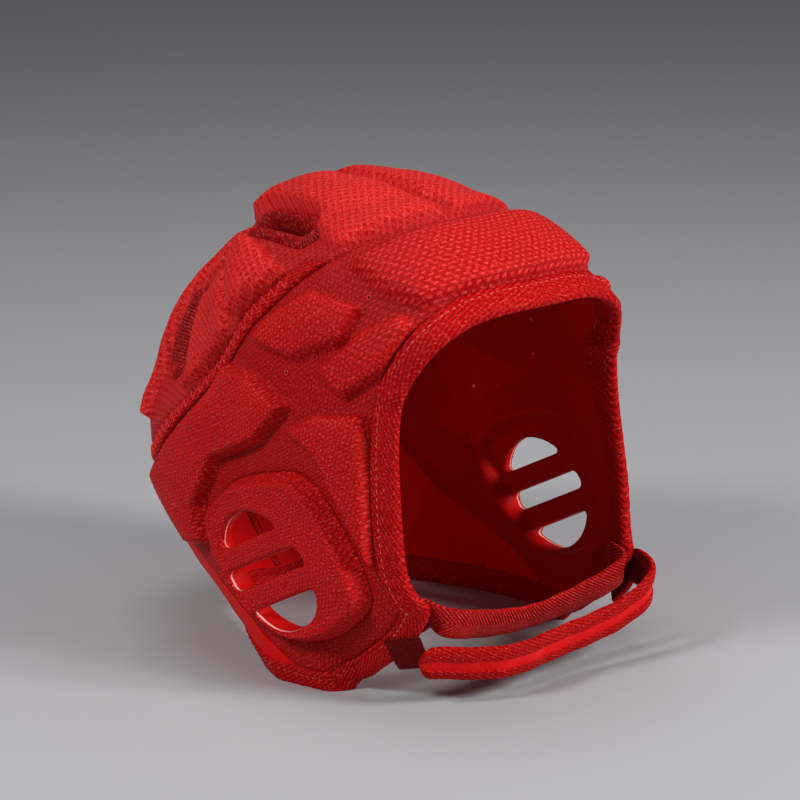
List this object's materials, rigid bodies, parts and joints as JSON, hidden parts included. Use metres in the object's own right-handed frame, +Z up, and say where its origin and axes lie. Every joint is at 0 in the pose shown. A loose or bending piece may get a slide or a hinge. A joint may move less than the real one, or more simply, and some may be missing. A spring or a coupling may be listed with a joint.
{
  "type": "soft head guard",
  "caption": "Soft padded head guard with moulded pads, slotted ear cups, open vented crown, open face and a closed chin strap.",
  "frame": {"origin": "middle of the box's base, on the surface that the guard stands on", "axes": "+Z up as the guard stands, -Y to the front (the face opening), +X to the wearer's left"},
  "size_m": [0.193, 0.2528, 0.2288],
  "materials": {
    "panel_knit": "bright red relief knit over foam",
    "crown_knit": "bright red relief knit over foam",
    "nape_stretch_cloth": "smooth red stretch cloth",
    "binding_twill": "dark red herringbone binding",
    "ribbed_elastic": "dark red gathered elastic",
    "strap_satin": "smooth red webbing"
  },
  "bodies": {
    "root": {"front_panel": "panel_knit", "ear_cup_right": "panel_knit", "ear_cup_left": "panel_knit", "crown_panel": "crown_knit", "nape_panel": "nape_stretch_cloth", "face_binding": "binding_twill", "rim_binding": "binding_twill", "crown_tape": "binding_twill", "closure_patch": "binding_twill", "crown_opening_trim_front_right": "ribbed_elastic", "crown_opening_trim_front_left": "ribbed_elastic", "crown_opening_trim_rear_right": "ribbed_elastic", "crown_opening_trim_rear_left": "ribbed_elastic", "chin_band": "strap_satin", "chin_strap": "strap_satin"}
  },
  "joints": []
}
